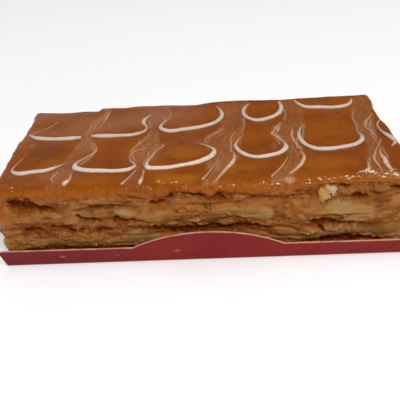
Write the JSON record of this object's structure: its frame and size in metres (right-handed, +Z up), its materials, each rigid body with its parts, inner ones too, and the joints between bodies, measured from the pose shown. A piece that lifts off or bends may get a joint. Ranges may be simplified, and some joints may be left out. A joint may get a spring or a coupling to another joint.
{
  "type": "mille-feuille slice",
  "caption": "Rectangular puff pastry slice with cream layers, a caramel glaze feathered with icing, in a folded card tray.",
  "frame": {"origin": "middle of the underside of the card tray's floor", "axes": "+X along the slice's length, +Z up through the layers; the finger arches face -Y and +Y"},
  "size_m": [0.1331, 0.0726, 0.0293],
  "materials": {
    "card": "matte",
    "pastry": "matte",
    "cream": "satin",
    "glaze": "gloss"
  },
  "bodies": {
    "root": {"card_tray": "card", "bottom_pastry": "pastry", "lower_cream": "cream", "middle_pastry": "pastry", "upper_cream": "cream", "top_pastry": "pastry", "caramel_glaze": "glaze"}
  },
  "joints": []
}
